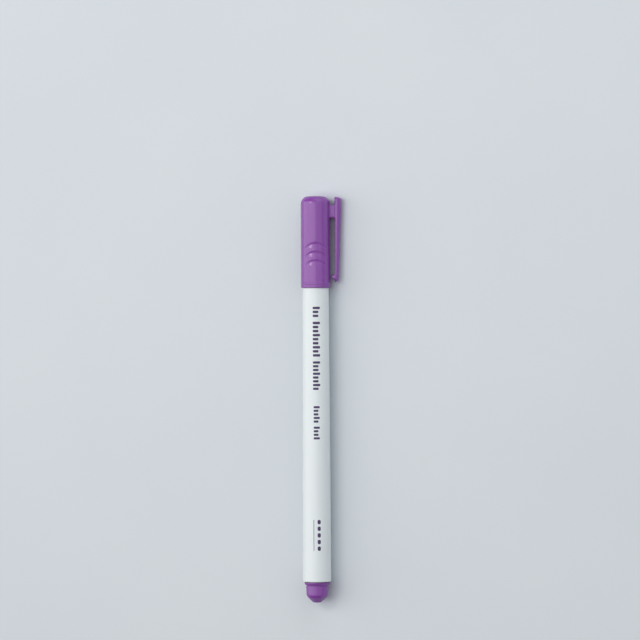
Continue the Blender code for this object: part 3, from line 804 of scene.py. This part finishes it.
def make_clip_bridge():
    """The block between the cap and the clip, sunk into both, which flares a little where it meets them."""
    quarter = 8
    rim = []
    for turn, (side_y, side_z) in enumerate(((1, 1), (-1, 1), (-1, -1), (1, -1))):
        for step in range(quarter + 1):
            rim.append((side_y, side_z, math.pi / 2 * (turn + step / quarter)))
    middle = (BRIDGE_TOP + BRIDGE_BOTTOM) / 2
    straight_z = (BRIDGE_TOP - BRIDGE_BOTTOM) / 2 - BRIDGE_CORNER
    straight_y = BRIDGE_HALF_WIDTH - BRIDGE_CORNER
    gap = CLIP_INNER - CAP_RADIUS_TOP
    sunk_in_cap, sunk_in_clip = 0.3, 0.45
    pitch = 0.06
    sections = []
    for rise in between(-sunk_in_cap, gap + sunk_in_clip, pitch):
        short = BRIDGE_FILLET - min(BRIDGE_FILLET, max(0.0, min(rise, gap - rise)))
        flare = BRIDGE_FILLET - math.sqrt(BRIDGE_FILLET ** 2 - short ** 2)
        section = []
        for side_y, side_z, angle in rim:
            y = side_y * straight_y + (BRIDGE_CORNER + BRIDGE_FILLET_ASIDE * flare) * math.cos(angle)
            z = side_z * straight_z + (BRIDGE_CORNER + flare) * math.sin(angle)
            root = math.sqrt(CAP_RADIUS_TOP ** 2 - y * y)
            section.append((root + (CLIP_INNER - root) * rise / gap, y, middle + z))
        sections.append(section)
    bridge = bmesh.new()
    skin(bridge, sections)
    return bridge


def make_clip(material):
    """The clip's bar and the bridge that joins its head to the cap, united into one solid."""
    shape = united(make_clip_bar(), make_clip_bridge())
    piece = add_piece("pocket_clip", shape, material, 40)
    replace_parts(piece, "clip_arm")
    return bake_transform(piece)


# ---------------------------------------------------------------- floor, light and camera

PICTURE_WIDTH = 222.4        # mm that the square picture spans at the pen
CAMERA_LENS = 195.0
CAMERA_SENSOR = 36.0
CAMERA_ROLL = math.radians(0.29)
PICTURE_MIDDLE = (1.44, 0.0, 98.1)
FLOOR_HALF = 2.0             # m


def make_floor():
    floor_mesh = bpy.data.meshes.new("floor")
    shape = bmesh.new()
    bmesh.ops.create_grid(shape, x_segments=1, y_segments=1, size=FLOOR_HALF)
    shape.to_mesh(floor_mesh)
    shape.free()
    floor = bpy.data.objects.new("floor", floor_mesh)
    bpy.context.scene.collection.objects.link(floor)
    floor_mesh.materials.append(floor_card("floor_card", (0.64, 0.69, 0.735), (0.66, 0.71, 0.75)))


def softbox(name, left, up, distance, across, along, radiance, colour):
    """A soft light aimed at the pen: left and up in degrees as the camera sees it, and the rest in metres."""
    clip_way, back, axis = [PEN.to_3x3().col[index] for index in range(3)]
    level = -back * math.cos(math.radians(left)) - clip_way * math.sin(math.radians(left))
    towards = (level * math.cos(math.radians(up)) + axis * math.sin(math.radians(up))).normalized()
    lamp = bpy.data.lights.new(name, "AREA")
    lamp.shape = "RECTANGLE"
    lamp.size = across
    lamp.size_y = along
    lamp.energy = radiance * math.pi * across * along
    lamp.color = colour
    item = bpy.data.objects.new(name, lamp)
    bpy.context.scene.collection.objects.link(item)
    side = (axis - towards * axis.dot(towards)).normalized()
    wide = side.cross(towards)
    turn = Matrix((wide, side, towards)).transposed().to_4x4()
    item.matrix_world = Matrix.Translation(world_point(*PICTURE_MIDDLE) + towards * distance) @ turn
    item.visible_camera = False


def make_lights():
    softbox("key_softbox", 54, 6, 0.9, 2.55, 0.88, 1.8, (1.0, 0.985, 0.97))
    softbox("glint_softbox", 41, 21, 0.8, 0.26, 0.12, 6.0, (1.0, 0.99, 0.98))
    softbox("fill_softbox", -28, 6, 0.9, 0.88, 0.88, 0.75, (0.97, 0.98, 1.0))
    softbox("top_softbox", -35, 58, 0.9, 0.8, 0.8, 1.2, (0.98, 0.99, 1.0))
    world = bpy.data.worlds.new("studio")
    bpy.context.scene.world = world
    world.use_nodes = True
    background = world.node_tree.nodes["Background"]
    background.inputs["Color"].default_value = (0.93, 0.96, 1.0, 1.0)
    background.inputs["Strength"].default_value = 0.09


def make_camera():
    """Looks square at the printed front, with the cap up and a slight roll."""
    clip_way, back, axis = [PEN.to_3x3().col[index] for index in range(3)]
    up = axis * math.cos(CAMERA_ROLL) + clip_way * math.sin(CAMERA_ROLL)
    right = clip_way * math.cos(CAMERA_ROLL) - axis * math.sin(CAMERA_ROLL)
    lens = bpy.data.cameras.new("photo_camera")
    lens.sensor_width = CAMERA_SENSOR
    lens.lens = CAMERA_LENS
    lens.clip_start = 0.05
    lens.clip_end = 20
    camera = bpy.data.objects.new("photo_camera", lens)
    bpy.context.scene.collection.objects.link(camera)
    distance = PICTURE_WIDTH * MM * CAMERA_LENS / CAMERA_SENSOR
    turn = Matrix((right, up, -back)).transposed().to_4x4()
    camera.matrix_world = Matrix.Translation(world_point(*PICTURE_MIDDLE) - back * distance) @ turn
    bpy.context.scene.camera = camera


# ---------------------------------------------------------------- the whole pen

def make_hidden_fibres():
    """The fibre and film sealed in the barrel keep their CAD shapes and get materials of their own."""
    looks = {
        "ink_reservoir": bonded_fibre("reservoir_fibre", (0.30, 0.14, 0.46), (0.45, 0.27, 0.60), 2600, 0.05),
        "feed_wick": bonded_fibre("wick_fibre", (0.22, 0.08, 0.36), (0.34, 0.17, 0.50), 3600, 0.03),
        "reservoir_wrap": wrap_film("reservoir_film", (0.62, 0.55, 0.70), (0.72, 0.67, 0.78)),
    }
    for node, material in looks.items():
        mesh = frame["nodes"][node].data
        mesh.materials.clear()
        mesh.materials.append(material)


def make_pen():
    barrel = moulded("barrel_satin_white", (0.79, 0.85, 0.87), (0.86, 0.89, 0.91), 0.32, 0.035, 0.01, 0.0015)
    violet = moulded("violet_moulding", (0.25, 0.062, 0.375), (0.36, 0.14, 0.50), 0.24, 0.025, 0.03, 0.0015,
                     specular=0.7)
    section = moulded("section_white", (0.80, 0.83, 0.84), (0.88, 0.90, 0.91), 0.33, 0.04, 0.015, 0.002)
    sleeve = moulded("sleeve_white", (0.72, 0.74, 0.76), (0.82, 0.84, 0.86), 0.22, 0.04, 0.02, 0.002)
    liner = moulded("liner_milky", (0.80, 0.80, 0.77), (0.87, 0.87, 0.85), 0.42, 0.08, 0.03, 0.003)
    ink = printed_ink("print_violet", (0.068, 0.040, 0.125), (0.25, 0.19, 0.37))
    nib = bonded_fibre("nib_bonded_fibre", (0.13, 0.035, 0.24), (0.24, 0.10, 0.38),
                       tip=(NIB_TIP - 1.4, NIB_TIP - 0.3))
    make_barrel(barrel)
    make_print(ink)
    make_tail_plug(violet)
    make_front_section(section)
    make_nose_piece(section)
    make_nib_sleeve(sleeve)
    make_nib(nib)
    make_inner_cap(liner)
    make_cap(violet)
    make_clip(violet)
    make_hidden_fibres()


make_pen()
make_floor()
make_lights()
make_camera()
bpy.context.scene.view_settings.view_transform = "Standard"
bpy.context.scene.view_settings.look = "None"
